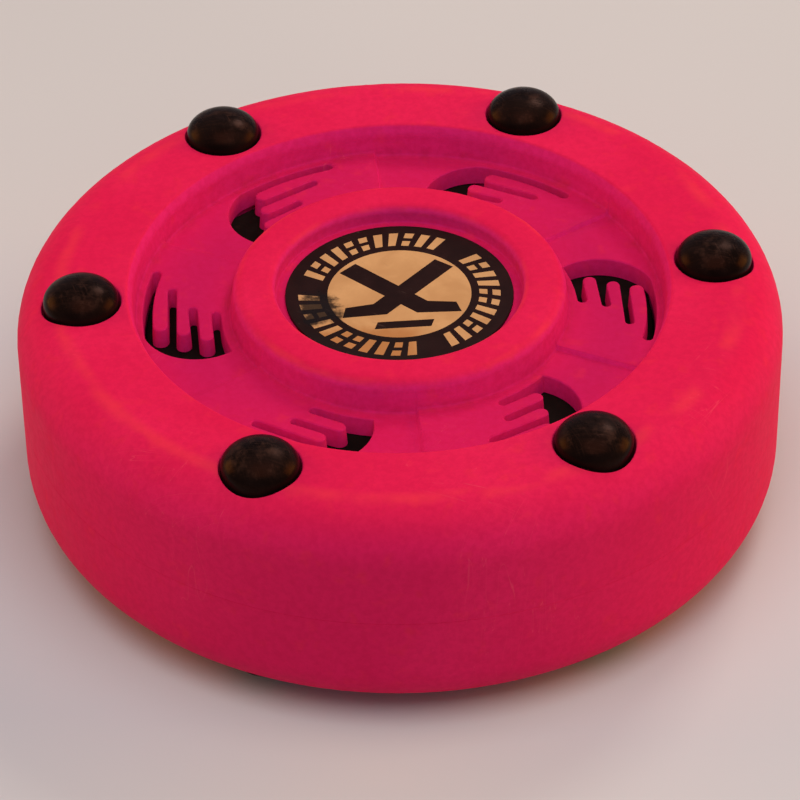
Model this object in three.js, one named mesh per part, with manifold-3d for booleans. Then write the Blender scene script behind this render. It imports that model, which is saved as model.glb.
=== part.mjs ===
// A street hockey puck that rolls and glides on hard floors: two identical plastic shells, welded
// face to face around a black core, with six glide pins floating in the rim and a round label in
// each hub. Units are millimetres and +Z is up. The origin is on the floor under the centre: the
// puck stands on the lower ends of its pins, so they are pushed up against their stops.
import * as THREE from 'three';
import { mergeVertices } from 'three/addons/utils/BufferGeometryUtils.js';
import Module from 'manifold-3d';

const wasm = await Module();
wasm.setup();

// ---- driving dimensions ----------------------------------------------------------------------
const PUCK_RADIUS = 38.1; // the regulation 3 inch diameter
const BODY_THICKNESS = 23.3; // both shells together, without the pins
const EDGE_ROUND = 5.2; // the round from the face into the side wall
const EDGE_ROUND_STEPS = 4;

const SECTORS = 6; // pins, vents and ramps all repeat six times
const SECTOR_ANGLE = (2 * Math.PI) / SECTORS;
const LATHE_SEGMENTS = 48;

const CHANNEL_OUTER_RADIUS = 26.2; // the foot of the channel's outer wall
const CHANNEL_INNER_RADIUS = 16.9; // the foot of the hub ring's wall
const CHANNEL_DRAFT = 0.5; // how far each channel wall leans back towards its top
const LIP_SIZE = 0.5; // the broken edges around the channel and the hub
const DECK_DEPTH = 3.55; // from the face to the low end of the deck's ramps
const DECK_THICKNESS = 2;

const RAMP_RISE = 0.5; // the step at the high end of each ramp
const RAMP_START = THREE.MathUtils.degToRad(-30); // angles are measured from the sector's pin
const RAMP_END = THREE.MathUtils.degToRad(12);
const RAMP_STEPS = 3;

const RECESS_RADIUS = 12.3; // the well in the hub that holds the label
const LABEL_RADIUS = 11.35;
const LABEL_THICKNESS = 0.25;
const LABEL_TOP_DEPTH = 1.7; // from the face to the label's printed side
const ADHESIVE_THICKNESS = 0.05;

const POST_RADIUS = 8; // the welded post in the middle of each shell
const CAVITY_RADIUS = 25.7; // the room for the core
const CORE_CLEARANCE = 0.1; // above and below the core
const CORE_SIDE_GAP = 0.3; // around the core and around the post

const PIN_CIRCLE_RADIUS = 31.48;
const PIN_RADIUS = 3.75;
const PIN_HOLE_RADIUS = 3.95;
const PIN_PROUD = 2.2; // how far a pin stands out of the face that it is pushed towards
const PIN_TRAVEL = 0.6;
const PIN_TIP_RADIUS = 0.8; // the small flat on each domed end
const COLLAR_RADIUS = 4.6; // the ring around a pin's middle that keeps it in
const COLLAR_THICKNESS = 2.4;
const POCKET_RADIUS = 4.9;
const POCKET_CLEARANCE = 0.05; // left between collar and pocket at each end of the travel
const PIN_SEGMENTS = 16;
const DOME_STEPS = 4;

const SPIGOT_RADIUS = 2; // pegs that line the shells up before welding
const SPIGOT_HEIGHT = 1.5;
const SOCKET_RADIUS = 2.2;
const SOCKET_DEPTH = 1.7;
const SPIGOT_SEGMENTS = 12;

// The vent, seen from above with the sector's pin along +X: a pocket whose far side is one round
// arc, with three fingers reaching into it and four slots between and beside them.
const VENT_ARC = { x: 20.17, y: 0.34, radius: 5.7 };
const VENT_INNER_RADIUS = 17.87;
const VENT_OUTER_RADIUS = 25.48;
const FINGER_HALF_WIDTH = 0.74;
const FINGERS = [
  { x: 19.35, tip: 3.1 },
  { x: 21.65, tip: 2.05 },
  { x: 23.9, tip: 1.15 },
];
const SLOT_HALF_WIDTH = 0.38;
const STRAIGHT_SLOTS = [
  { x: 18.25, root: -1.1 },
  { x: 20.5, root: -2.1 },
  { x: 22.4, root: -5.3 },
];
const CURVED_SLOT_ROOT = THREE.MathUtils.degToRad(-18.3);
const VENT_CURVE_SEGMENTS = 3;

// ---- sizes that follow from them -------------------------------------------------------------
const HALF = BODY_THICKNESS / 2;
const BODY_CENTRE = PIN_PROUD - PIN_TRAVEL + HALF;
const PIN_LENGTH = BODY_THICKNESS + 2 * PIN_PROUD - PIN_TRAVEL;
const DECK_TOP = HALF - DECK_DEPTH;
const DECK_UNDERSIDE = DECK_TOP - DECK_THICKNESS;
const RECESS_FLOOR = HALF - LABEL_TOP_DEPTH - LABEL_THICKNESS - ADHESIVE_THICKNESS;
const POCKET_HALF_HEIGHT = COLLAR_THICKNESS / 2 + PIN_TRAVEL / 2 + POCKET_CLEARANCE;
const OVERLAP = 1; // how far a cutter or an added piece runs past the surface that it meets

// ---- materials -------------------------------------------------------------------------------
const pinkPlastic = new THREE.MeshStandardMaterial({ color: 0xe0204c, roughness: 0.55, metalness: 0 });
const pinPlastic = new THREE.MeshStandardMaterial({ color: 0x1a1416, roughness: 0.4, metalness: 0 });
const coreRubber = new THREE.MeshStandardMaterial({ color: 0x241816, roughness: 0.8, metalness: 0 });
const labelPrint = new THREE.MeshStandardMaterial({ color: 0xdca56e, roughness: 0.3, metalness: 0 });

// ---- helpers ---------------------------------------------------------------------------------
function toSolid(geometry) {
  geometry.deleteAttribute('uv');
  geometry.deleteAttribute('normal');
  const merged = mergeVertices(geometry);
  const corners = merged.index.array;
  const triangles = [];
  for (let i = 0; i < corners.length; i += 3) {
    const [a, b, c] = corners.slice(i, i + 3);
    const isSliver = a === b || b === c || c === a;
    if (!isSliver) triangles.push(a, b, c);
  }
  const mesh = new wasm.Mesh({
    numProp: 3,
    vertProperties: new Float32Array(merged.attributes.position.array),
    triVerts: new Uint32Array(triangles),
  });
  return new wasm.Manifold(mesh);
}

function toGeometry(solid) {
  const { vertProperties, triVerts } = solid.getMesh();
  const geometry = new THREE.BufferGeometry();
  geometry.setAttribute('position', new THREE.BufferAttribute(vertProperties, 3));
  geometry.setIndex(new THREE.BufferAttribute(triVerts, 1));
  geometry.computeVertexNormals();
  return geometry;
}

// Turns a profile of [radius, height] points about Z.
function revolve(profile, segments) {
  const points = profile.map(([radius, height]) => new THREE.Vector2(radius, height));
  return new THREE.LatheGeometry(points, segments).rotateX(Math.PI / 2);
}

// An upright cylinder from one height to another, with a corner on the sector's X axis.
function cylinder(radius, low, high, segments) {
  return revolve([[0, low], [radius, low], [radius, high], [0, high]], segments);
}

// Points of the round that runs from the side wall up into the face.
function roundedEdge(faceRadius, faceHeight, radius, steps) {
  const points = [];
  for (let i = 0; i <= steps; i += 1) {
    const angle = (i / steps) * (Math.PI / 2);
    const out = radius * Math.cos(angle);
    const down = radius * (1 - Math.sin(angle));
    points.push([faceRadius + out, faceHeight - down]);
  }
  return points;
}

function onCircle(radius, angle) {
  return new THREE.Vector3(radius * Math.cos(angle), radius * Math.sin(angle), 0);
}

// ---- one shell: drawn with its weld plane at z = 0 and its face up ----------------------------
function shellProfile() {
  const channelOuterTop = CHANNEL_OUTER_RADIUS + CHANNEL_DRAFT;
  const hubOuterTop = CHANNEL_INNER_RADIUS - CHANNEL_DRAFT;
  return [
    [0, 0],
    [POST_RADIUS, 0],
    [POST_RADIUS, DECK_UNDERSIDE],
    [CAVITY_RADIUS, DECK_UNDERSIDE],
    [CAVITY_RADIUS, 0],
    [PUCK_RADIUS, 0],
    ...roundedEdge(PUCK_RADIUS - EDGE_ROUND, HALF, EDGE_ROUND, EDGE_ROUND_STEPS),
    [channelOuterTop + LIP_SIZE, HALF],
    [channelOuterTop, HALF - LIP_SIZE],
    [CHANNEL_OUTER_RADIUS, DECK_TOP],
    [CHANNEL_INNER_RADIUS, DECK_TOP],
    [hubOuterTop, HALF - LIP_SIZE],
    [hubOuterTop - LIP_SIZE, HALF],
    [RECESS_RADIUS + LIP_SIZE, HALF],
    [RECESS_RADIUS, HALF - LIP_SIZE],
    [RECESS_RADIUS, RECESS_FLOOR],
    [0, RECESS_FLOOR],
  ];
}

// The wedge that makes one sixth of the deck slope down from a step to its finger tips.
function rampGeometry() {
  const innerRadius = CHANNEL_INNER_RADIUS - CHANNEL_DRAFT;
  const outerRadius = CHANNEL_OUTER_RADIUS + CHANNEL_DRAFT;
  const bottom = DECK_TOP - DECK_THICKNESS / 2;
  const positions = [];
  for (let i = 0; i <= RAMP_STEPS; i += 1) {
    const along = i / RAMP_STEPS;
    const angle = THREE.MathUtils.lerp(RAMP_START, RAMP_END, along);
    const top = DECK_TOP + RAMP_RISE * (1 - along);
    for (const [radius, height] of [
      [innerRadius, bottom],
      [outerRadius, bottom],
      [outerRadius, top],
      [innerRadius, top],
    ]) {
      const corner = onCircle(radius, angle);
      positions.push(corner.x, corner.y, height);
    }
  }
  const faces = [[0, 1, 2], [0, 2, 3]];
  for (let i = 0; i < RAMP_STEPS; i += 1) {
    for (let side = 0; side < 4; side += 1) {
      const near = 4 * i + side;
      const nearNext = 4 * i + ((side + 1) % 4);
      faces.push([near, near + 4, nearNext + 4], [near, nearNext + 4, nearNext]);
    }
  }
  const last = 4 * RAMP_STEPS;
  faces.push([last, last + 2, last + 1], [last, last + 3, last + 2]);
  const geometry = new THREE.BufferGeometry();
  geometry.setAttribute('position', new THREE.Float32BufferAttribute(positions, 3));
  geometry.setIndex(faces.flat());
  return geometry;
}

// Where the vent's arc crosses a circle about the puck's axis: the angle about each centre.
function arcMeeting(radius) {
  const distance = Math.hypot(VENT_ARC.x, VENT_ARC.y);
  const bearing = Math.atan2(VENT_ARC.y, VENT_ARC.x);
  const cosine = (radius ** 2 + distance ** 2 - VENT_ARC.radius ** 2) / (2 * radius * distance);
  const aboutAxis = bearing + Math.acos(cosine);
  const point = onCircle(radius, aboutAxis);
  const aboutArc = Math.atan2(point.y - VENT_ARC.y, point.x - VENT_ARC.x);
  return { aboutAxis, aboutArc };
}

function ventShape() {
  const shape = new THREE.Shape();
  STRAIGHT_SLOTS.forEach((slot, i) => {
    const finger = FINGERS[i];
    const rootY = slot.root + SLOT_HALF_WIDTH;
    const tipY = finger.tip - FINGER_HALF_WIDTH;
    shape.absarc(slot.x, rootY, SLOT_HALF_WIDTH, Math.PI, 2 * Math.PI, false);
    shape.absarc(finger.x, tipY, FINGER_HALF_WIDTH, Math.PI, 0, true);
  });
  const innerSide = VENT_OUTER_RADIUS - 2 * SLOT_HALF_WIDTH;
  const lastFinger = FINGERS[FINGERS.length - 1];
  const mouthAngle = Math.atan2(lastFinger.tip - 2 * FINGER_HALF_WIDTH, innerSide);
  shape.absarc(0, 0, innerSide, mouthAngle, CURVED_SLOT_ROOT, true);
  const root = onCircle(VENT_OUTER_RADIUS - SLOT_HALF_WIDTH, CURVED_SLOT_ROOT);
  const towardsAxis = CURVED_SLOT_ROOT + Math.PI;
  shape.absarc(root.x, root.y, SLOT_HALF_WIDTH, towardsAxis, towardsAxis + Math.PI, false);
  const outer = arcMeeting(VENT_OUTER_RADIUS);
  const inner = arcMeeting(VENT_INNER_RADIUS);
  shape.absarc(0, 0, VENT_OUTER_RADIUS, CURVED_SLOT_ROOT, outer.aboutAxis, false);
  shape.absarc(VENT_ARC.x, VENT_ARC.y, VENT_ARC.radius, outer.aboutArc, inner.aboutArc, false);
  return shape;
}

function makeShell() {
  let shell = toSolid(revolve(shellProfile(), LATHE_SEGMENTS));
  const vent = new THREE.ExtrudeGeometry(ventShape(), {
    depth: DECK_THICKNESS + RAMP_RISE + 2 * OVERLAP,
    bevelEnabled: false,
    curveSegments: VENT_CURVE_SEGMENTS,
  }).translate(0, 0, DECK_UNDERSIDE - OVERLAP);
  const pinHole = cylinder(PIN_HOLE_RADIUS, -OVERLAP, HALF + OVERLAP, PIN_SEGMENTS);
  const pocket = cylinder(POCKET_RADIUS, -OVERLAP, POCKET_HALF_HEIGHT, PIN_SEGMENTS);
  const spigot = cylinder(SPIGOT_RADIUS, -SPIGOT_HEIGHT, OVERLAP, SPIGOT_SEGMENTS);
  const socket = cylinder(SOCKET_RADIUS, -OVERLAP, SOCKET_DEPTH, SPIGOT_SEGMENTS);
  const pin = onCircle(PIN_CIRCLE_RADIUS, 0);
  const between = onCircle(PIN_CIRCLE_RADIUS, SECTOR_ANGLE / 2);

  for (let sector = 0; sector < SECTORS; sector += 1) {
    const turn = sector * SECTOR_ANGLE;
    shell = shell.add(toSolid(rampGeometry().rotateZ(turn)));
    shell = shell.subtract(toSolid(vent.clone().rotateZ(turn)));
    for (const cutter of [pinHole, pocket]) {
      const placed = cutter.clone().translate(pin.x, pin.y, 0).rotateZ(turn);
      shell = shell.subtract(toSolid(placed));
    }
    // Spigots on one half and sockets on the other let a second, turned-over shell plug in.
    if (sector < SECTORS / 2) {
      const placed = spigot.clone().translate(between.x, between.y, 0).rotateZ(turn);
      shell = shell.add(toSolid(placed));
    } else {
      const placed = socket.clone().translate(between.x, between.y, 0).rotateZ(turn);
      shell = shell.subtract(toSolid(placed));
    }
  }
  return toGeometry(shell);
}

// ---- the other pieces ------------------------------------------------------------------------
function makeCore() {
  const halfHeight = DECK_UNDERSIDE - CORE_CLEARANCE;
  const innerRadius = POST_RADIUS + CORE_SIDE_GAP;
  const outerRadius = CAVITY_RADIUS - CORE_SIDE_GAP;
  const profile = [
    [innerRadius, -halfHeight],
    [outerRadius, -halfHeight],
    [outerRadius, halfHeight],
    [innerRadius, halfHeight],
    [innerRadius, -halfHeight],
  ];
  return revolve(profile, LATHE_SEGMENTS);
}

// Half of a domed end, from the flat tip to the shank: a low half ellipsoid.
function domeProfile(tipHeight) {
  const shoulder = tipHeight - PIN_PROUD;
  const first = Math.asin(PIN_TIP_RADIUS / PIN_RADIUS);
  const rise = PIN_PROUD / Math.cos(first);
  const points = [];
  for (let i = 0; i <= DOME_STEPS; i += 1) {
    const angle = THREE.MathUtils.lerp(first, Math.PI / 2, i / DOME_STEPS);
    points.push([PIN_RADIUS * Math.sin(angle), shoulder + rise * Math.cos(angle)]);
  }
  return points;
}

function makePin() {
  const dome = domeProfile(PIN_LENGTH / 2);
  const upperHalf = [
    [COLLAR_RADIUS, COLLAR_THICKNESS / 2],
    [PIN_RADIUS, COLLAR_THICKNESS / 2],
    ...dome.reverse(),
    [0, PIN_LENGTH / 2],
  ];
  const lowerHalf = upperHalf.map(([radius, height]) => [radius, -height]).reverse();
  return revolve([...lowerHalf, ...upperHalf], PIN_SEGMENTS);
}

function makeLabel() {
  const top = HALF - LABEL_TOP_DEPTH;
  return cylinder(LABEL_RADIUS, top - LABEL_THICKNESS, top, LATHE_SEGMENTS);
}

// ---- the assembly ----------------------------------------------------------------------------
function addPiece(parent, name, geometry, material) {
  const mesh = new THREE.Mesh(geometry, material);
  mesh.name = name;
  parent.add(mesh);
  return mesh;
}

const puck = new THREE.Group();

const upperHalf = new THREE.Group();
upperHalf.position.z = BODY_CENTRE;
puck.add(upperHalf);

const lowerHalf = new THREE.Group();
lowerHalf.position.z = BODY_CENTRE;
lowerHalf.rotation.x = Math.PI;
puck.add(lowerHalf);

addPiece(upperHalf, 'upper_shell', makeShell(), pinkPlastic);
addPiece(lowerHalf, 'lower_shell', makeShell(), pinkPlastic);
addPiece(upperHalf, 'upper_label', makeLabel(), labelPrint);
addPiece(lowerHalf, 'lower_label', makeLabel(), labelPrint);

const core = addPiece(puck, 'inner_core', makeCore(), coreRubber);
core.position.z = BODY_CENTRE;

for (let sector = 0; sector < SECTORS; sector += 1) {
  const pin = addPiece(puck, `glide_pin_${sector + 1}`, makePin(), pinPlastic);
  pin.position.copy(onCircle(PIN_CIRCLE_RADIUS, sector * SECTOR_ANGLE));
  pin.position.z = PIN_LENGTH / 2;
  pin.rotation.z = sector * SECTOR_ANGLE;
}

export default puck;
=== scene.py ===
"""The looks of the street hockey puck: fine moulded surfaces, materials, light and camera.

Shapes are worked out in millimetres, with a shell's weld plane at z = 0 and its face up, and
angles are in degrees from the sector's glide pin. They are scaled to metres when placed.
"""

import math

import bmesh
import bpy
import numpy as np
from mathutils import Matrix, Vector
from mathutils.geometry import delaunay_2d_cdt


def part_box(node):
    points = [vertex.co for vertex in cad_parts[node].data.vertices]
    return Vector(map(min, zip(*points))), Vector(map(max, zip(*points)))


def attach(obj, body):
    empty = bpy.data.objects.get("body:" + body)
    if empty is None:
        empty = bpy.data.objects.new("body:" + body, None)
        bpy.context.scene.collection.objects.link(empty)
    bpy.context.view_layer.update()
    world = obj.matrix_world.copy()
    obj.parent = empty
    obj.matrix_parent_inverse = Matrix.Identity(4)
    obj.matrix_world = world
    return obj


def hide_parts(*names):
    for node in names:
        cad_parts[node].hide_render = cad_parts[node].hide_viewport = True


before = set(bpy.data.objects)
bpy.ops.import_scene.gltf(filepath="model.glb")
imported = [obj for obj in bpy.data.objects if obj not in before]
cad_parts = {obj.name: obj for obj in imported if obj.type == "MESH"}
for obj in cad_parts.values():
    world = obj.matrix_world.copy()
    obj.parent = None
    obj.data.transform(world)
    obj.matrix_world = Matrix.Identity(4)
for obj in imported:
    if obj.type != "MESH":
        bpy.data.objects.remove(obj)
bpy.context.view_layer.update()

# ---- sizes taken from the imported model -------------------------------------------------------
MM = 0.001
SHELL_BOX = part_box("upper_shell")
LABEL_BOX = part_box("upper_label")
CORE_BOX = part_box("inner_core")
PIN_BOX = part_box("glide_pin_1")
WELD_Z = (SHELL_BOX[1].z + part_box("lower_shell")[0].z) / 2
HALF = (SHELL_BOX[1].z - WELD_Z) / MM
PUCK_RADIUS = SHELL_BOX[1].x / MM
CORE_RADIUS = CORE_BOX[1].x / MM
CORE_TOP = (CORE_BOX[1].z - WELD_Z) / MM
LABEL_RADIUS = LABEL_BOX[1].x / MM
LABEL_TOP = (LABEL_BOX[1].z - WELD_Z) / MM
LABEL_BOTTOM = (LABEL_BOX[0].z - WELD_Z) / MM
PIN_CIRCLE = (PIN_BOX[0].x + PIN_BOX[1].x) / 2 / MM
COLLAR_RADIUS = (PIN_BOX[1].x - PIN_BOX[0].x) / 2 / MM
PIN_LENGTH = (PIN_BOX[1].z - PIN_BOX[0].z) / MM

# ---- the moulding's other sizes, in millimetres ----------------------------------------------
SECTORS = 6
EDGE_ROUND = 5.2
CHANNEL_OUTER = 26.2
CHANNEL_INNER = 16.9
HUB_RADIUS = 16.4
FOOT_FILLET = 0.42
LIP_RADIUS = 26.92
OUTER_LIP = 0.42
HUB_LIP = 1.35
RECESS_LIP = 0.9
LEAN_FROM = (26.48, HALF - 1.0)  # where the channel's outer wall starts to lean out to its lip
LEAN_ROUND = 2.5
RECESS_FILLET = 0.25
DECK_TOP = HALF - 3.55
DECK_UNDERSIDE = DECK_TOP - 2
RAMP_RISE = 0.5
RAMP_START = -30
RAMP_END = 12
STEP_WIDTH = 0.9
RECESS_RADIUS = 12.3
RECESS_FLOOR = LABEL_BOTTOM - 0.05
RECESS_MIDDLE = 6  # inside this the floor is one fan of triangles
POST_RADIUS = 8
CAVITY_RADIUS = 25.7
CORE_HOLE = 8.3
PIN_RADIUS = 3.75
PIN_HOLE = 3.95
HOLE_ROUND = 0.2
PIN_PROUD = 2.2
PIN_TIP = 0.8
PIN_WORN = 0.25  # how far in from its edge the flat tip is worn round
COLLAR_THICKNESS = 2.4
COLLAR_BEVEL = 0.15
SHANK_RING = 0.9  # how far below the dome the shank's last ring of points lies
POCKET_RADIUS = 4.9
POCKET_TOP = 1.55
SPIGOT = (2.0, -1.5)  # radius and height of its end from the weld plane
SOCKET = (2.2, 1.7)
WELD_FACE_FROM = -15  # where the sectors of the weld face start, clear of its holes
SEAM_CHAMFER = 0.025

DECK_INSIDE = 17.42  # where the deck's triangles meet the fillets of the channel's walls
DECK_OUTSIDE = 25.78
RIM_INSIDE = 27.22  # and where the rim's face meets the lip and the side's round
RIM_OUTSIDE = 36.3

# ---- the columns that every turned surface shares --------------------------------------------
SECTOR_FROM = -33
SECTOR_TO = 27
STEP_COLUMNS = [RAMP_START + 0.15 * i for i in range(-3, 4)]
PLAIN_COLUMNS = list(range(RAMP_START + 3, SECTOR_TO, 3))
COLUMNS = [SECTOR_FROM] + STEP_COLUMNS + PLAIN_COLUMNS
SECTOR_SPAN = 360 / SECTORS
ALL_COLUMNS = [c + SECTOR_SPAN * k for k in range(SECTORS) for c in COLUMNS]
HOLE_POINTS = 48
SLIVER = 2e-4  # square millimetres: smaller triangles lie flat along an outline
WELD_DISTANCE = 2e-4  # points this close are one
SHARP_ANGLE = 35  # edges that turn further than this stay sharp


def on_circle(radius, degrees):
    """The point at an angle on a circle about the axis."""
    turn = math.radians(degrees)
    return (radius * math.cos(turn), radius * math.sin(turn))


def arc(centre, radius, start, end, steps, skip=0):
    """Points on an arc about centre, from one angle to another, leaving out the first few."""
    turns = np.linspace(start, end, steps + 1)[skip:]
    return [
        (centre[0] + radius * math.cos(t), centre[1] + radius * math.sin(t))
        for t in np.radians(turns)
    ]


def rounded(corners):
    """A line through (across, up) corners; a corner of (across, up, fillet, steps) is rounded."""
    points = [np.array(corners[0][:2], float)]
    for before, here, after in zip(corners, corners[1:], corners[2:]):
        corner = np.array(here[:2], float)
        back = np.array(before[:2], float) - corner
        ahead = np.array(after[:2], float) - corner
        back /= np.linalg.norm(back)
        ahead /= np.linalg.norm(ahead)
        if len(here) == 2:
            points.append(corner)
            continue
        fillet, steps = here[2:]
        half = math.acos(max(-1.0, min(1.0, float(back @ ahead)))) / 2
        middle = (back + ahead) / np.linalg.norm(back + ahead)
        centre = corner + middle * fillet / math.sin(half)
        first = corner + back * fillet / math.tan(half) - centre
        last = corner + ahead * fillet / math.tan(half) - centre
        sweep = math.atan2(first[0] * last[1] - first[1] * last[0], float(first @ last))
        for i in range(steps + 1):
            turn = sweep * i / steps
            across = first[0] * math.cos(turn) - first[1] * math.sin(turn)
            up = first[0] * math.sin(turn) + first[1] * math.cos(turn)
            points.append(centre + np.array([across, up]))
    points.append(np.array(corners[-1][:2], float))
    return points


def inside(points, loop):
    """Which of the points lie inside a closed loop."""
    result = np.zeros(len(points), bool)
    loop = np.array(loop)
    for start, end in zip(loop, np.roll(loop, -1, axis=0)):
        if start[1] == end[1]:
            continue
        crosses = (start[1] > points[:, 1]) != (end[1] > points[:, 1])
        share = (points[:, 1] - start[1]) / (end[1] - start[1])
        result ^= crosses & (points[:, 0] < start[0] + share * (end[0] - start[0]))
    return result


def triangulate(loops, lines=(), loose=()):
    """Corners and triangles of the whole area that the loops and lines run through."""
    points = []
    edges = []
    for loop in loops:
        first = len(points)
        points.extend(loop)
        edges += [(first + i, first + (i + 1) % len(loop)) for i in range(len(loop))]
    for line in lines:
        first = len(points)
        points.extend(line)
        edges += [(first + i, first + i + 1) for i in range(len(line) - 1)]
    points.extend(loose)
    made = delaunay_2d_cdt([Vector(p) for p in points], edges, [], 0, 1e-6)
    corners = np.array([tuple(v) for v in made[0]])
    triangles = np.array([tuple(f) for f in made[2]])
    return corners, triangles, corners[triangles].mean(axis=1)


def fill(outline, holes, lines=(), loose=()):
    """The triangles inside an outline and outside its holes."""
    corners, triangles, centres = triangulate([outline, *holes], lines, loose)
    one, two, three = (corners[triangles[:, i]] for i in range(3))
    along, across = two - one, three - one
    area = np.abs(along[:, 0] * across[:, 1] - along[:, 1] * across[:, 0]) / 2
    keep = inside(centres, outline) & (area > SLIVER)
    for hole in holes:
        keep &= ~inside(centres, hole)
    return corners, triangles[keep]


class Surface:
    """Points and faces in millimetres, gathered patch by patch and welded into one mesh."""

    def __init__(self):
        self.points = []
        self.faces = []
        self.marks = []

    def add(self, points, faces, turn=0.0, mark=0):
        first = len(self.points)
        cosine = math.cos(math.radians(turn))
        sine = math.sin(math.radians(turn))
        for x, y, z in points:
            self.points.append((x * cosine - y * sine, x * sine + y * cosine, z))
        for face in faces:
            self.faces.append([first + int(i) for i in face])
            self.marks.append(mark)

    def strip(self, rings, turn=0.0, mark=0):
        """Bands of quads between closed rings that all have the same number of points."""
        count = len(rings[0])
        points = [p for ring in rings for p in ring]
        faces = []
        for row in range(len(rings) - 1):
            for i in range(count):
                j = (i + 1) % count
                low = row * count
                faces.append((low + i, low + count + i, low + count + j, low + j))
        self.add(points, faces, turn, mark)

    def cap(self, ring, centre, turn=0.0, mark=0):
        """A fan from a ring to its centre."""
        count = len(ring)
        faces = [(i, (i + 1) % count, count) for i in range(count)]
        self.add([*ring, centre], faces, turn, mark)

    def mesh(self, name, place):
        """The welded mesh, moved by a matrix in millimetres and scaled to metres."""
        bm = bmesh.new()
        verts = [bm.verts.new(p) for p in self.points]
        for face, mark in zip(self.faces, self.marks):
            made = bm.faces.new([verts[i] for i in face])
            made.material_index = mark
            made.smooth = True
        bmesh.ops.remove_doubles(bm, verts=bm.verts, dist=WELD_DISTANCE)
        bmesh.ops.recalc_face_normals(bm, faces=bm.faces)
        bm.transform(Matrix.Scale(MM, 4) @ place)
        data = bpy.data.meshes.new(name)
        bm.to_mesh(data)
        bm.free()
        data.set_sharp_from_angle(angle=math.radians(SHARP_ANGLE))
        return data


def turned(profile, columns):
    """Rings of a profile of (radius, height) points turned about the axis."""
    return [[(*on_circle(r, c), z) for c in columns] for r, z in profile]


# ---- the vent --------------------------------------------------------------------------------
# Sizes at the vent's lower edge, in the sector's own X (along the pin's radius) and Y.
SLOT_EDGES = [(17.92, 18.59), (20.16, 20.84), (22.06, 22.74)]
SLOT_ROOTS = [-0.76, -1.76, -4.96]
SLOT_SLANTS = [0, 0, 0.054]  # how far a slot's sides move outwards for each step along it
FINGER_TIPS = [2.42, 1.37, 0.38]
OUTER_SLOT = (24.7, 25.45)
OUTER_SLOT_ROOT = -18.3
VENT_ARC_CENTRE = (20.17, 0.34)
VENT_ARC_RADIUS = 5.47
# How much wider the vent is at its upper edge, from draft and from the rounded edge.
SIDE_GROWTH = 0.29
END_GROWTH = 0.1  # which the fingers' tips and the slots' roots have more of
INNER_GROWTH = 0.42
OUTER_GROWTH = 0.26
ARC_GROWTH = 0.25
VENT_EDGE_ROUND = 0.18
WALL_SHARE = 0.4  # the share of that growth which the straight wall has


def arc_meeting(radius, arc_radius):
    """Where the vent's arc crosses a circle about the axis: angles about the axis and the arc."""
    x, y = VENT_ARC_CENTRE
    distance = math.hypot(x, y)
    cosine = (radius**2 + distance**2 - arc_radius**2) / (2 * radius * distance)
    about_axis = math.degrees(math.atan2(y, x) + math.acos(cosine))
    px, py = on_circle(radius, about_axis)
    return about_axis, math.degrees(math.atan2(py - y, px - x))


def vent_outline(growth):
    """The vent's outline, from its lower edge (growth 0) to its upper edge (growth 1)."""
    side = SIDE_GROWTH * growth
    inner = SLOT_EDGES[0][0] - INNER_GROWTH * growth
    outer = OUTER_SLOT[1] + OUTER_GROWTH * growth
    arc_radius = VENT_ARC_RADIUS + ARC_GROWTH * growth
    inner_end = arc_meeting(inner, arc_radius)
    outer_end = arc_meeting(outer, arc_radius)

    def edges(i, y):
        if i == len(SLOT_EDGES):
            return (math.sqrt((OUTER_SLOT[0] - side) ** 2 - y * y), outer)
        shift = SLOT_SLANTS[i] * (y - SLOT_ROOTS[i])
        left = inner if i == 0 else SLOT_EDGES[i][0] - side
        return (left + shift, SLOT_EDGES[i][1] + side + shift)

    points = arc((0, 0), inner, inner_end[0], 0, 4, skip=1)
    for i, root in enumerate(SLOT_ROOTS):
        left, right = edges(i, root)
        low = root - END_GROWTH * growth
        points += arc(((left + right) / 2, low), (right - left) / 2, 180, 360, 6)
        tip = FINGER_TIPS[i] - END_GROWTH * growth
        left, right = edges(i, tip)[1], edges(i + 1, tip)[0]
        points += arc(((left + right) / 2, tip), (right - left) / 2, 180, 0, 8)
    slot_inner = OUTER_SLOT[0] - side
    mouth = math.degrees(math.asin((FINGER_TIPS[-1] - END_GROWTH * growth) / slot_inner))
    points += arc((0, 0), slot_inner, mouth, OUTER_SLOT_ROOT, 7, skip=1)
    middle = on_circle((slot_inner + outer) / 2, OUTER_SLOT_ROOT)
    towards_axis = OUTER_SLOT_ROOT + 180
    points += arc(middle, (outer - slot_inner) / 2, towards_axis, towards_axis + 180, 6, skip=1)
    points += arc((0, 0), outer, OUTER_SLOT_ROOT, outer_end[0], 10, skip=1)
    points += arc(VENT_ARC_CENTRE, arc_radius, outer_end[1], inner_end[1], 16, skip=1)
    return points


# ---- heights of the shell's broad surfaces ---------------------------------------------------
def deck_level(degrees):
    """The deck slopes down from a step at one end of each sector to a flat at the other."""
    turn = (degrees - SECTOR_FROM) % SECTOR_SPAN + SECTOR_FROM
    slope = min(1.0, max(0.0, (RAMP_END - turn) / (RAMP_END - RAMP_START)))
    share = (turn - RAMP_START) / STEP_WIDTH + 0.5
    share = min(1.0, max(0.0, share))
    step = share * share * (3 - 2 * share)
    return DECK_TOP + RAMP_RISE * slope * step


def deck_height(x, y):
    return deck_level(math.degrees(math.atan2(y, x)))


def rim_height(x, y):
    out = max(0.0, math.hypot(x, y) - (PUCK_RADIUS - EDGE_ROUND))
    return HALF - EDGE_ROUND + math.sqrt(EDGE_ROUND**2 - out**2)


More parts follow.
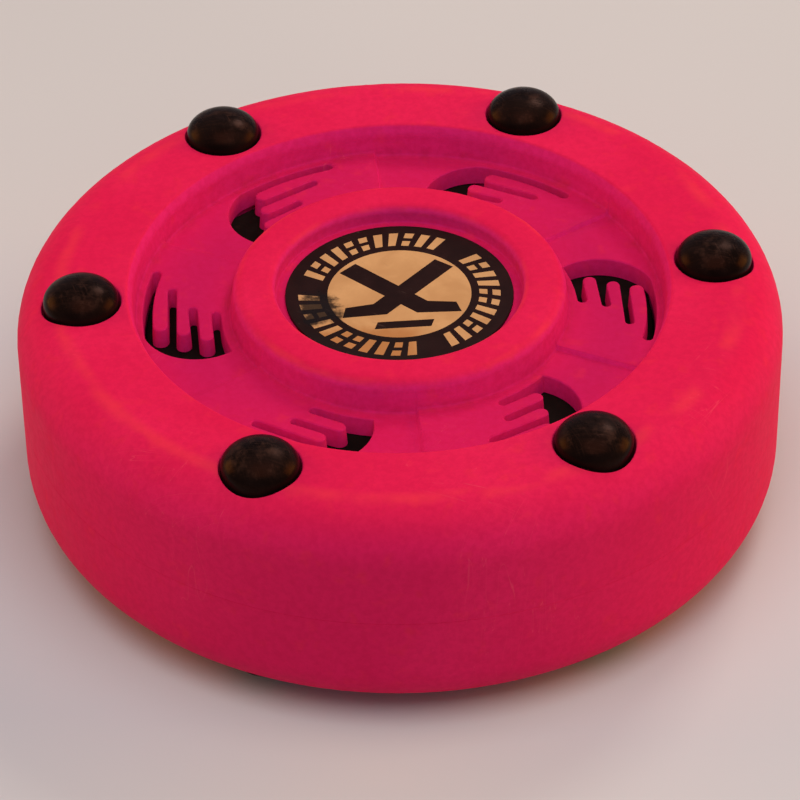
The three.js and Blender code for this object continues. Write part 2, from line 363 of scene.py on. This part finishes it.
def sector_outline(radii, columns):
    """The outline of a sector of a ring, with points where its neighbours have them."""
    outline = [on_circle(radii[0], c) for c in columns]
    outline += [on_circle(r, columns[-1]) for r in radii[1:-1]]
    outline += [on_circle(radii[-1], c) for c in reversed(columns)]
    outline += [on_circle(r, columns[0]) for r in reversed(radii[1:-1])]
    return outline


def clear_of(points, loops, gap):
    """The points that lie outside every loop and further than a gap from its corners."""
    points = np.array(points)
    keep = np.ones(len(points), bool)
    for loop in loops:
        away = np.linalg.norm(points[:, None] - np.array(loop)[None], axis=2).min(axis=1)
        keep &= (away > gap) & ~inside(points, loop)
    return [tuple(p) for p in points[keep]]


def lift(corners, height):
    return [(x, y, height(x, y)) for x, y in corners]


def add_sectors(surface, radii, columns, holes, height, lines=(), gap=0.4):
    """One patch of a ring, with holes and a height, repeated for every sector."""
    inner_columns = [c for c in columns[1:-1] if c not in STEP_COLUMNS or c == RAMP_START]
    loose = [on_circle(r, c) for r in radii[1:-1] for c in inner_columns]
    loose = clear_of(loose, holes, gap)
    corners, triangles = fill(sector_outline(radii, columns), holes, lines, loose)
    points = lift(corners, height)
    for k in range(SECTORS):
        surface.add(points, triangles, turn=k * SECTOR_SPAN)


def add_deck(surface):
    """The channel's floor with its vents, and the shell's inner face below it."""
    radii = [DECK_INSIDE, 18.9, 20.4, 21.9, 23.4, 24.7, DECK_OUTSIDE]
    columns = COLUMNS + [SECTOR_TO]
    lines = [[on_circle(r, c) for r in radii] for c in STEP_COLUMNS]
    top = vent_outline(1)
    add_sectors(surface, radii, columns, [top], deck_height, lines)
    turns = np.radians([0, 22.5, 45, 67.5, 90])
    growths = [WALL_SHARE + (1 - WALL_SHARE) * (1 - math.cos(t)) for t in turns]
    drops = [VENT_EDGE_ROUND * (1 - math.sin(t)) for t in turns]
    rings = [[(x, y, DECK_UNDERSIDE) for x, y in vent_outline(0)]]
    for growth, drop in zip(growths, drops):
        rings.append([(x, y, deck_height(x, y) - drop) for x, y in vent_outline(growth)])
    for k in range(SECTORS):
        surface.strip(rings, turn=k * SECTOR_SPAN)
    radii = [POST_RADIUS, 11, 14, 16.5, 19, 21.5, 24, CAVITY_RADIUS]
    add_sectors(surface, radii, columns, [vent_outline(0)], lambda x, y: DECK_UNDERSIDE)


def add_rim(surface):
    """The rim's face and its outer round, with the pins' holes and the pockets below them."""
    radii = [RIM_INSIDE, 28.4, 29.8, 31.2, 32.4, 33, 33.6, 34.2, 34.8, 35.4, 35.9, RIM_OUTSIDE]
    middle = (PIN_CIRCLE, 0)
    turns = np.radians([90, 60, 30, 0])
    rings = []
    for turn in turns:
        radius = PIN_HOLE + HOLE_ROUND * (1 - math.cos(turn))
        drop = HOLE_ROUND * (1 - math.sin(turn))
        loop = arc(middle, radius, 0, 360, HOLE_POINTS)[:-1]
        rings.append([(x, y, rim_height(x, y) - drop) for x, y in loop])
    edge = [(x, y) for x, y, z in rings[0]]
    add_sectors(surface, radii, COLUMNS + [SECTOR_TO], [edge], rim_height, gap=0.3)
    pocket = arc(middle, POCKET_RADIUS, 0, 360, HOLE_POINTS)[:-1]
    rings.append([(x, y, POCKET_TOP) for x, y, z in rings[-1]])
    rings.append([(x, y, POCKET_TOP) for x, y in pocket])
    rings.append([(x, y, 0) for x, y in pocket])
    for k in range(SECTORS):
        surface.strip(rings, turn=k * SECTOR_SPAN)


def add_weld_face(surface):
    """The hidden face that meets the other shell, with its pockets, spigots and sockets."""
    columns = [c for c in COLUMNS if c >= WELD_FACE_FROM]
    columns += [c + SECTOR_SPAN for c in COLUMNS if c <= WELD_FACE_FROM]
    outline = sector_outline([CAVITY_RADIUS, PUCK_RADIUS - SEAM_CHAMFER], columns)
    pocket = arc((PIN_CIRCLE, 0), POCKET_RADIUS, 0, 360, HOLE_POINTS)[:-1]
    between = on_circle(PIN_CIRCLE, SECTOR_SPAN / 2)
    for k in range(SECTORS):
        radius, depth = SPIGOT if k < SECTORS / 2 else SOCKET
        ring = arc(between, radius, 0, 360, 20)[:-1]
        corners, triangles = fill(outline, [pocket, ring])
        turn = k * SECTOR_SPAN
        surface.add(lift(corners, lambda x, y: 0), triangles, turn=turn)
        end = [(x, y, depth) for x, y in ring]
        surface.strip([[(x, y, 0) for x, y in ring], end], turn=turn)
        surface.cap(end, (*between, depth), turn=turn)


def add_turned_surfaces(surface):
    """The label's well, the hub, the channel's walls, the side, the cavity and the post."""
    hub_profiles = []
    channel_profiles = []
    for column in ALL_COLUMNS:
        level = deck_level(column)
        hub_profiles.append(
            rounded([
                (RECESS_MIDDLE, RECESS_FLOOR),
                (RECESS_RADIUS, RECESS_FLOOR, RECESS_FILLET, 3),
                (RECESS_RADIUS, HALF, RECESS_LIP, 4),
                (HUB_RADIUS, HALF, HUB_LIP, 6),
                (CHANNEL_INNER, level, FOOT_FILLET, 4),
                (DECK_INSIDE, level),
            ])
        )
        channel_profiles.append(
            rounded([
                (DECK_OUTSIDE, level),
                (CHANNEL_OUTER, level, FOOT_FILLET, 4),
                (*LEAN_FROM, LEAN_ROUND, 4),
                (LIP_RADIUS, HALF, OUTER_LIP, 5),
                (RIM_INSIDE, HALF),
            ])
        )
    for profiles in (hub_profiles, channel_profiles):
        rings = []
        for row in zip(*profiles):
            rings.append([(*on_circle(r, c), z) for (r, z), c in zip(row, ALL_COLUMNS)])
        surface.strip(rings)
    surface.cap(turned([(RECESS_MIDDLE, RECESS_FLOOR)], ALL_COLUMNS)[0], (0, 0, RECESS_FLOOR))

    first = math.acos((RIM_OUTSIDE - PUCK_RADIUS + EDGE_ROUND) / EDGE_ROUND)
    side = []
    for turn in np.linspace(first, 0, 7):
        out = PUCK_RADIUS - EDGE_ROUND + EDGE_ROUND * math.cos(turn)
        side.append((out, HALF - EDGE_ROUND + EDGE_ROUND * math.sin(turn)))
    side += [(PUCK_RADIUS, SEAM_CHAMFER), (PUCK_RADIUS - SEAM_CHAMFER, 0)]
    surface.strip(turned(side, ALL_COLUMNS))
    surface.strip(turned([(CAVITY_RADIUS, 0), (CAVITY_RADIUS, DECK_UNDERSIDE)], ALL_COLUMNS))
    post = turned([(POST_RADIUS, DECK_UNDERSIDE), (POST_RADIUS, 0)], ALL_COLUMNS)
    surface.strip(post)
    surface.cap(post[-1], (0, 0, 0))


def make_shell_surface():
    surface = Surface()
    add_deck(surface)
    add_rim(surface)
    add_weld_face(surface)
    add_turned_surfaces(surface)
    return surface


# ---- the other pieces ------------------------------------------------------------------------
def make_pin_surface():
    """A glide pin about its own middle: a collar, a shank and a domed, slightly worn end."""
    top = PIN_LENGTH / 2
    shoulder = top - PIN_PROUD
    start = math.asin(PIN_TIP / PIN_RADIUS)
    rise = PIN_PROUD / math.cos(start)
    face = COLLAR_THICKNESS / 2
    upper = [
        (COLLAR_RADIUS - COLLAR_BEVEL, 0),
        (COLLAR_RADIUS, COLLAR_BEVEL),
        (COLLAR_RADIUS, face - COLLAR_BEVEL),
        (COLLAR_RADIUS - COLLAR_BEVEL, face),
        (PIN_RADIUS, face),
        (PIN_RADIUS, shoulder - SHANK_RING),
    ]
    upper += [
        (PIN_RADIUS * math.sin(t), shoulder + rise * math.cos(t))
        for t in np.linspace(math.pi / 2, start, 14)[:-1]
    ]
    upper += [(PIN_TIP + 0.02, top - 0.004), (PIN_TIP - PIN_WORN, top)]
    lower = [(r, -z) for r, z in reversed(upper[1:])]
    columns = np.linspace(0, 360, 65)[:-1]
    rings = turned(lower + upper, columns)
    surface = Surface()
    surface.strip(rings)
    surface.cap(rings[0], (0, 0, -top))
    surface.cap(rings[-1], (0, 0, top))
    return surface


def make_core_surface():
    profile = rounded([
        (CORE_HOLE + 6, CORE_TOP),
        (CORE_RADIUS, CORE_TOP, 0.5, 3),
        (CORE_RADIUS, -CORE_TOP, 0.5, 3),
        (CORE_HOLE, -CORE_TOP, 0.5, 3),
        (CORE_HOLE, CORE_TOP, 0.5, 3),
        (CORE_HOLE + 6, CORE_TOP),
    ])
    surface = Surface()
    surface.strip(turned(profile, np.linspace(0, 360, 97)[:-1]))
    return surface


# ---- the label's print -----------------------------------------------------------------------
PRINT_TURN = -1.0  # the print's upright, a little off the first pin's axis
BAR_RING = (7.95, 10.05)  # the bars' inner and outer radius
BAR_GROUPS = [59, -63, -183]  # where each group starts, in degrees
BARS_IN_GROUP = 11
BAR_PITCH = 9.4
BAR_WIDTH = 5.3
BAR_SLANT = 2.2
SPLIT_BARS = (2, 5, 6, 9)  # these have only their two ends
SPLIT_END = 0.8
DISC_RADIUS = 7.15
LABEL_BEVEL = 0.06
BLACK, CREAM = 0, 1  # the label's two materials
SCUFF_AT = (-0.0082, -0.0016)  # in metres, on the upper label


def bar(start, low, high):
    """A slanted bar of the outer ring, from one radius to another."""
    middle = sum(BAR_RING) / 2
    corners = []
    for radius, side in ((low, 0), (low, BAR_WIDTH), (high, BAR_WIDTH), (high, 0)):
        slant = BAR_SLANT * (radius - middle) / (BAR_RING[1] - BAR_RING[0])
        corners.append(on_circle(radius, start + side - slant))
    return corners


def cream_shapes():
    low, high = BAR_RING
    shapes = []
    for group in BAR_GROUPS:
        for i in range(BARS_IN_GROUP):
            start = group + i * BAR_PITCH
            if i in SPLIT_BARS:
                shapes.append(bar(start, low, low + SPLIT_END))
                shapes.append(bar(start, high - SPLIT_END, high))
            else:
                shapes.append(bar(start, low, high))
    return shapes


def stick(side):
    """A hockey stick that leans to one side, as an outline."""
    points = [(-5.7, 3.9), (-4.0, 5.3), (2.7, -1.5), (5.5, -1.9), (5.9, -3.5), (1.5, -3.3)]
    return [(side * x, y) for x, y in points]


def black_shapes():
    stripe = [(-2.9, -5.6), (2.7, -5.6), (3.1, -4.5), (-2.5, -4.5)]
    return [stick(1), stick(-1), stripe]


def make_label_surface():
    rim = arc((0, 0), LABEL_RADIUS, 0, 360, 96)[:-1]
    edge = arc((0, 0), LABEL_RADIUS - LABEL_BEVEL, 0, 360, 96)[:-1]
    disc = arc((0, 0), DISC_RADIUS, 0, 360, 72)[:-1]
    bars = cream_shapes()
    marks = black_shapes()
    corners, triangles, centres = triangulate([edge, disc, *bars, *marks])
    cream = inside(centres, disc)
    for shape in marks:
        cream &= ~inside(centres, shape)
    for shape in bars:
        cream |= inside(centres, shape)
    surface = Surface()
    points = lift(corners, lambda x, y: LABEL_TOP)
    surface.add(points, triangles[~cream], turn=PRINT_TURN, mark=BLACK)
    surface.add(points, triangles[cream], turn=PRINT_TURN, mark=CREAM)
    side = [
        [(x, y, LABEL_TOP) for x, y in edge],
        [(x, y, LABEL_TOP - LABEL_BEVEL) for x, y in rim],
        [(x, y, LABEL_BOTTOM) for x, y in rim],
    ]
    surface.strip(side, turn=PRINT_TURN)
    surface.cap(side[-1], (0, 0, LABEL_BOTTOM), turn=PRINT_TURN)
    return surface


# ---- materials -------------------------------------------------------------------------------
class Shader:
    """Short ways to add nodes to one material. Lengths in it are in metres."""

    def __init__(self, name):
        self.material = bpy.data.materials.new(name)
        self.material.use_nodes = True
        self.tree = self.material.node_tree
        self.main = self.tree.nodes["Principled BSDF"]
        self.place = self.add("ShaderNodeTexCoord").outputs["Object"]

    def add(self, kind, inputs=None, **settings):
        made = self.tree.nodes.new(kind)
        for key, value in settings.items():
            setattr(made, key, value)
        for key, value in (inputs or {}).items():
            self.feed(made.inputs[key], value)
        return made

    def feed(self, socket, value):
        if isinstance(value, bpy.types.NodeSocket):
            self.tree.links.new(value, socket)
        else:
            socket.default_value = value

    def maths(self, operation, *values):
        made = self.add("ShaderNodeMath", operation=operation)
        for socket, value in zip(made.inputs, values):
            self.feed(socket, value)
        return made.outputs[0]

    def noise(self, size, detail=2.0, rough=0.5, stretch=None, twist=0.0):
        """Noise whose blotches are about the given size across."""
        place = self.place
        if stretch is not None:
            inputs = {"Vector": place, "Scale": stretch}
            place = self.add("ShaderNodeMapping", inputs).outputs[0]
        inputs = {"Vector": place, "Scale": 1 / size, "Detail": detail, "Roughness": rough}
        inputs["Distortion"] = twist
        return self.add("ShaderNodeTexNoise", inputs).outputs["Fac"]

    def remap(self, value, low, high, to_low=0.0, to_high=1.0):
        inputs = {0: value, 1: low, 2: high, 3: to_low, 4: to_high}
        made = self.add("ShaderNodeMapRange", inputs, interpolation_type="SMOOTHSTEP")
        return made.outputs[0]

    def mix(self, share, first, second):
        made = self.add("ShaderNodeMix", data_type="RGBA")
        for index, value in ((0, share), (6, first), (7, second)):
            self.feed(made.inputs[index], value)
        return made.outputs[2]

    def scratches(self, density, width, turn):
        """Thin straight marks: stretched noise, cut to its narrow middle band."""
        inputs = {"Vector": self.place, "Rotation": (0, 0, math.radians(turn))}
        place = self.add("ShaderNodeMapping", inputs).outputs[0]
        inputs = {"Vector": place, "Scale": (density, density * 26, density)}
        place = self.add("ShaderNodeMapping", inputs).outputs[0]
        inputs = {"Vector": place, "Scale": 1.0, "Detail": 1.0, "Distortion": 0.25}
        fac = self.add("ShaderNodeTexNoise", inputs).outputs["Fac"]
        off = self.maths("ABSOLUTE", self.maths("SUBTRACT", fac, 0.5))
        return self.remap(off, 0.0, width, 1.0, 0.0)

    def bump(self, layers):
        """Stacks bumps of (height socket, strength, depth in metres) into the normal."""
        normal = None
        for height, strength, depth in layers:
            inputs = {"Height": height, "Strength": strength, "Distance": depth}
            if normal is not None:
                inputs["Normal"] = normal
            normal = self.add("ShaderNodeBump", inputs).outputs[0]
        self.feed(self.main.inputs["Normal"], normal)

    def radius_and_height(self):
        """Distance from the puck's axis and from its mid plane, in metres."""
        parts = self.add("ShaderNodeSeparateXYZ", {"Vector": self.place}).outputs
        squares = [self.maths("MULTIPLY", parts[i], parts[i]) for i in (0, 1)]
        radius = self.maths("SQRT", self.maths("ADD", *squares))
        height = self.maths("ABSOLUTE", self.maths("SUBTRACT", parts[2], WELD_Z))
        return radius, height

    def upright(self):
        """How far a surface faces straight up or down: 1 is level and 0 is a wall."""
        normal = self.add("ShaderNodeNewGeometry").outputs["Normal"]
        parts = self.add("ShaderNodeSeparateXYZ", {"Vector": normal}).outputs
        return self.maths("ABSOLUTE", parts[2])

    def near_circles(self, radius, height, circles):
        """1 on circles about the axis, given as (radius, height, reach) in millimetres, and 0
        further from them than their reach."""
        result = 0.0
        for out, level, reach in circles:
            across = self.maths("SUBTRACT", radius, out * MM)
            up = self.maths("SUBTRACT", height, level * MM)
            squares = [self.maths("MULTIPLY", side, side) for side in (across, up)]
            away = self.maths("SQRT", self.maths("ADD", *squares))
            ring = self.remap(away, 0.0, reach * MM, 1.0, 0.0)
            result = self.maths("MAXIMUM", result, ring)
        return result


def shell_material():
    s = Shader("pink_plastic")
    cloud = s.noise(0.022, detail=3.0, twist=0.6)
    grain = s.noise(0.0007, detail=3.0, rough=0.65)
    speck = s.noise(0.0022, detail=2.0, rough=0.6)
    flow = s.noise(0.006, detail=2.0, stretch=(1, 1, 4))
    colour = s.mix(s.remap(cloud, 0.35, 0.65), (0.75, 0.0130, 0.078, 1), (0.80, 0.0175, 0.091, 1))
    # Steep surfaces, and sunken ones inside the rim, are shifted towards magenta: painted shade,
    # standing in for the cool light that walls and hollows get while the warm lamps light the top.
    wall_shade = s.remap(s.upright(), 0.35, 0.95, 1.0, 0.0)
    radius, height = s.radius_and_height()
    within = s.remap(radius, 26.8 * MM, 27.2 * MM, 1.0, 0.0)
    below = s.remap(height, (HALF - 2.2) * MM, (HALF - 0.4) * MM, 1.0, 0.0)
    sunken_shade = s.maths("MULTIPLY", s.maths("MULTIPLY", below, within), 0.8)
    colour = s.mix(sunken_shade, colour, (0.62, 0.0125, 0.112, 1))
    share = s.remap(radius, 27.0 * MM, 27.8 * MM, 0.85, 0.18)
    colour = s.mix(s.maths("MULTIPLY", wall_shade, share), colour, (0.80, 0.0260, 0.225, 1))
    colour = s.mix(s.remap(grain, 0.3, 0.7, 0.0, 0.28), colour, (0.56, 0.006, 0.055, 1))
    colour = s.mix(s.remap(speck, 0.55, 0.8, 0.0, 0.25), colour, (0.86, 0.040, 0.055, 1))

    # Lighter, oranger rubbed wear on the outer round and on the lips of the hub and the label's
    # well, which is also a painted highlight along these edges.
    edges = [(33.6, HALF - 0.2, 1.3), (16.1, HALF - 0.3, 0.7), (12.45, HALF - 0.15, 0.6)]
    wear_and_highlight = s.near_circles(radius, height, edges)
    wear_and_highlight = s.maths("MULTIPLY", wear_and_highlight, s.remap(flow, 0.42, 0.62, 0.0, 0.45))
    colour = s.mix(wear_and_highlight, colour, (0.88, 0.045, 0.066, 1))
    # Darker patches at the feet of the channel's walls: dirt, and painted shade in these corners.
    corners = [(wall, DECK_TOP + 0.2, 1.3) for wall in (CHANNEL_OUTER, CHANNEL_INNER)]
    dirt_and_shade = s.near_circles(radius, height, corners)
    dirt_and_shade = s.maths("MULTIPLY", dirt_and_shade, s.remap(speck, 0.35, 0.7, 0.08, 0.35))
    colour = s.mix(dirt_and_shade, colour, (0.33, 0.010, 0.040, 1))
    marks = s.maths("MAXIMUM", s.scratches(55, 0.0035, 24), s.scratches(48, 0.0030, -51))
    patchy = s.remap(s.noise(0.015, detail=2.0), 0.52, 0.66)
    marks = s.maths("MULTIPLY", marks, patchy)
    share = s.maths("MULTIPLY", marks, 0.22)
    colour = s.mix(share, colour, (0.93, 0.14, 0.19, 1))
    s.feed(s.main.inputs["Base Color"], colour)
    rough = s.remap(cloud, 0.3, 0.7, 0.54, 0.64)
    rough = s.maths("ADD", rough, s.remap(speck, 0.4, 0.7, -0.03, 0.06))
    rough = s.maths("ADD", rough, s.maths("MULTIPLY", marks, 0.15))
    s.feed(s.main.inputs["Roughness"], rough)
    s.main.inputs["Specular IOR Level"].default_value = 0.035
    s.main.inputs["Specular Tint"].default_value = (1.0, 0.40, 0.34, 1)
    s.bump([
        (cloud, 0.30, 0.00005),
        (grain, 0.30, 0.00003),
        (s.maths("SUBTRACT", 1.0, marks), 0.25, 0.00002),
    ])
    return s.material


def pin_material():
    s = Shader("black_nylon")
    cloud = s.noise(0.003, detail=3.0, twist=0.5)
    grain = s.noise(0.00045, detail=3.0, rough=0.7)
    dust = s.noise(0.0016, detail=4.0, rough=0.7)
    radius, height = s.radius_and_height()
    top = s.remap(height, (HALF + 0.4) * MM, (HALF + 1.9) * MM)
    marks = s.maths("MAXIMUM", s.scratches(160, 0.012, 12), s.scratches(140, 0.010, 74))
    marks = s.maths("MULTIPLY", marks, top)
    patches = s.remap(cloud, 0.3, 0.7)
    colour = s.mix(patches, (0.0040, 0.0026, 0.0022, 1), (0.0085, 0.0050, 0.0040, 1))
    # Brown dust over the upper part of the dome, which also serves as a painted warm highlight
    # there.
    dust_and_highlight = s.maths("MULTIPLY", s.remap(dust, 0.48, 0.72), s.maths("MULTIPLY", top, 0.55))
    colour = s.mix(dust_and_highlight, colour, (0.055, 0.026, 0.017, 1))
    colour = s.mix(s.maths("MULTIPLY", marks, 0.25), colour, (0.085, 0.035, 0.022, 1))
    s.feed(s.main.inputs["Base Color"], colour)
    rough = s.remap(cloud, 0.3, 0.7, 0.22, 0.32)
    rough = s.maths("ADD", rough, s.maths("MULTIPLY", marks, 0.12))
    s.feed(s.main.inputs["Roughness"], rough)
    s.main.inputs["Specular IOR Level"].default_value = 0.07
    s.main.inputs["Specular Tint"].default_value = (1.0, 0.24, 0.10, 1)
    s.bump([
        (cloud, 0.25, 0.00006),
        (grain, 0.25, 0.00002),
        (s.maths("SUBTRACT", 1.0, marks), 0.3, 0.000015),
    ])
    return s.material


def core_material():
    s = Shader("black_core")
    cloud = s.noise(0.004, detail=3.0)
    grain = s.noise(0.0005, detail=3.0, rough=0.7)
    dust = s.noise(0.0012, detail=4.0, rough=0.75)
    patches = s.remap(cloud, 0.3, 0.7)
    colour = s.mix(patches, (0.0050, 0.0034, 0.0028, 1), (0.0095, 0.0060, 0.0048, 1))
    share = s.remap(dust, 0.55, 0.75, 0.0, 0.25)
    colour = s.mix(share, colour, (0.045, 0.016, 0.014, 1))
    s.feed(s.main.inputs["Base Color"], colour)
    s.feed(s.main.inputs["Roughness"], s.remap(grain, 0.3, 0.7, 0.68, 0.85))
    s.main.inputs["Specular IOR Level"].default_value = 0.05
    s.main.inputs["Specular Tint"].default_value = (1.0, 0.6, 0.5, 1)
    s.bump([(cloud, 0.4, 0.0001), (grain, 0.4, 0.00003)])
    return s.material


def label_material(name, light, dark, stain):
    """Printed film that fades between two tones. Both labels have a stain below and at the left,
    and the upper one has a burnished scuff."""
    s = Shader(name)
    cloud = s.noise(0.004, detail=3.0, twist=0.4)
    grain = s.noise(0.0004, detail=3.0, rough=0.7)
    blotch = s.noise(0.0022, detail=4.0, rough=0.65)
    colour = s.mix(s.remap(cloud, 0.35, 0.65), light, dark)
    fine = s.remap(grain, 0.35, 0.65, 0.0, 0.22)
    colour = s.mix(fine, colour, dark)
    parts = s.add("ShaderNodeSeparateXYZ", {"Vector": s.place}).outputs
    ragged = s.maths("ADD", parts[1], s.maths("MULTIPLY", blotch, 0.003))
    lower = s.remap(ragged, -0.0050, -0.0028, 1.0, 0.0)
    left = s.remap(parts[0], 0.0, 0.0025, 1.0, 0.0)
    share = s.maths("MULTIPLY", lower, left)
    colour = s.mix(s.maths("MULTIPLY", share, 0.8), colour, stain)
    ends = {0: s.place, 1: (*SCUFF_AT, LABEL_BOX[1].z)}
    away = s.add("ShaderNodeVectorMath", ends, operation="DISTANCE").outputs["Value"]
    away = s.maths("ADD", away, s.maths("MULTIPLY", s.maths("SUBTRACT", blotch, 0.5), 0.006))
    scuff = s.remap(away, 0.0016, 0.0030, 1.0, 0.0)
    colour = s.mix(s.maths("MULTIPLY", scuff, 0.93), colour, (0.010, 0.0085, 0.0085, 1))
    marks = s.scratches(120, 0.006, 38)
    marks = s.maths("MULTIPLY", marks, s.remap(blotch, 0.5, 0.62))
    colour = s.mix(s.maths("MULTIPLY", marks, 0.25), colour, (0.20, 0.13, 0.10, 1))
    s.feed(s.main.inputs["Base Color"], colour)
    rough = s.remap(blotch, 0.35, 0.65, 0.34, 0.50)
    rough = s.maths("SUBTRACT", rough, s.maths("MULTIPLY", scuff, 0.14))
    s.feed(s.main.inputs["Roughness"], rough)
    s.main.inputs["Specular IOR Level"].default_value = 0.11
    s.main.inputs["Specular Tint"].default_value = (1.0, 0.36, 0.33, 1)
    s.bump([(cloud, 0.3, 0.00005), (grain, 0.2, 0.00001), (blotch, 0.15, 0.00003)])
    return s.material


def floor_material():
    s = Shader("pale_floor")
    cloud = s.noise(0.12, detail=2.0)
    grain = s.noise(0.0015, detail=2.0)
    colour = s.mix(s.remap(cloud, 0.3, 0.7), (0.61, 0.65, 0.635, 1), (0.64, 0.68, 0.66, 1))
    s.feed(s.main.inputs["Base Color"], colour)
    s.feed(s.main.inputs["Roughness"], s.remap(grain, 0.3, 0.7, 0.75, 0.9))
    s.main.inputs["Specular IOR Level"].default_value = 0.15
    return s.material


# ---- placing the pieces ----------------------------------------------------------------------
def add_piece(name, data, body, node, materials):
    for material in materials:
        data.materials.append(material)
    piece = bpy.data.objects.new(name, data)
    bpy.context.scene.collection.objects.link(piece)
    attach(piece, body)
    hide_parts(node)


weld = Matrix.Translation((0, 0, WELD_Z / MM))
turned_over = weld @ Matrix.Rotation(math.pi, 4, "X")
pink = shell_material()
nylon = pin_material()
black_print = label_material(
    "black_print", (0.017, 0.0070, 0.0060, 1), (0.011, 0.0050, 0.0042, 1), (0.012, 0.008, 0.007, 1)
)
cream_print = label_material(
    "cream_print", (0.66, 0.385, 0.158, 1), (0.56, 0.31, 0.122, 1), (0.45, 0.19, 0.055, 1)
)
shell = make_shell_surface()
label = make_label_surface()
for half, place in (("upper", weld), ("lower", turned_over)):
    data = shell.mesh(f"{half}_moulding", place)
    add_piece(f"{half}_moulding", data, "puck_body", f"{half}_shell", [pink])
    data = label.mesh(f"{half}_print", place)
    prints = [black_print, cream_print]
    add_piece(f"{half}_print", data, "puck_body", f"{half}_label", prints)

data = make_core_surface().mesh("core_ring", weld)
add_piece("core_ring", data, "puck_body", "inner_core", [core_material()])

PIN_TURN = 77  # the pins are loose in their holes, so each has turned by another angle
pin = make_pin_surface()
for k in range(SECTORS):
    x, y = on_circle(PIN_CIRCLE, k * SECTOR_SPAN)
    turn = Matrix.Rotation(math.radians(PIN_TURN * k), 4, "Z")
    place = Matrix.Translation((x, y, PIN_LENGTH / 2)) @ turn
    data = pin.mesh(f"domed_pin_{k + 1}", place)
    add_piece(f"domed_pin_{k + 1}", data, f"pin_{k + 1}", f"glide_pin_{k + 1}", [nylon])

# ---- floor, light and camera -----------------------------------------------------------------
FLOOR_REACH = 3000
plane = Surface()
corners = [(-1, -1), (1, -1), (1, 1), (-1, 1)]
plane.add([(x * FLOOR_REACH, y * FLOOR_REACH, 0) for x, y in corners], [(0, 1, 2, 3)])
floor = bpy.data.objects.new("floor", plane.mesh("floor", Matrix.Identity(4)))
floor.data.materials.append(floor_material())
bpy.context.scene.collection.objects.link(floor)

CENTRE = Vector((0, 0, WELD_Z))


def soft_light(name, azimuth, elevation, distance, size, power, colour):
    """A square soft box that faces the puck. Azimuth 0 is in front of it, and 90 at its right."""
    a = math.radians(azimuth)
    e = math.radians(elevation)
    back = Vector((math.sin(a) * math.cos(e), -math.cos(a) * math.cos(e), math.sin(e)))
    lamp = bpy.data.lights.new(name, "AREA")
    lamp.shape = "SQUARE"
    lamp.size = size
    lamp.energy = power
    lamp.color = colour
    box = bpy.data.objects.new(name, lamp)
    box.location = CENTRE + back * distance
    box.rotation_mode = "QUATERNION"
    box.rotation_quaternion = (-back).to_track_quat("-Z", "Y")
    bpy.context.scene.collection.objects.link(box)


soft_light("key", 145, 46, 0.60, 0.16, 0.82, (1.0, 0.86, 0.76))
soft_light("overhead", 4, 74, 0.70, 0.60, 2.75, (1.0, 0.94, 1.0))
soft_light("right", 94, 16, 1.00, 0.56, 4.90, (1.0, 0.47, 0.06))
soft_light("left", -112, 16, 1.10, 0.56, 4.30, (1.0, 0.47, 0.06))

world = bpy.data.worlds.new("ambient")
world.use_nodes = True
ambient = world.node_tree.nodes["Background"]
ambient.inputs["Color"].default_value = (0.90, 0.82, 1.02, 1)
ambient.inputs["Strength"].default_value = 0.24
bpy.context.scene.world = world
bpy.context.scene.view_settings.view_transform = "Standard"

CAMERA_AZIMUTH = math.radians(-5.085)
CAMERA_ELEVATION = math.radians(38.674)
CAMERA_ROLL = math.radians(-0.863)
CAMERA_DISTANCE = 0.40287
AIM_RIGHT = -0.000103
AIM_UP = -0.002825
back = Vector((
    math.sin(CAMERA_AZIMUTH) * math.cos(CAMERA_ELEVATION),
    -math.cos(CAMERA_AZIMUTH) * math.cos(CAMERA_ELEVATION),
    math.sin(CAMERA_ELEVATION),
))
right = Vector((math.cos(CAMERA_AZIMUTH), math.sin(CAMERA_AZIMUTH), 0))
up = back.cross(right)
target = CENTRE + right * AIM_RIGHT + up * AIM_UP
rolled_right = right * math.cos(CAMERA_ROLL) + up * math.sin(CAMERA_ROLL)
rolled_up = up * math.cos(CAMERA_ROLL) - right * math.sin(CAMERA_ROLL)
lens = bpy.data.cameras.new("camera")
lens.sensor_width = 36
lens.lens = 179.83
camera = bpy.data.objects.new("camera", lens)
axes = Matrix((rolled_right, rolled_up, back)).transposed().to_4x4()
camera.matrix_world = Matrix.Translation(target + back * CAMERA_DISTANCE) @ axes
bpy.context.scene.collection.objects.link(camera)
bpy.context.scene.camera = camera
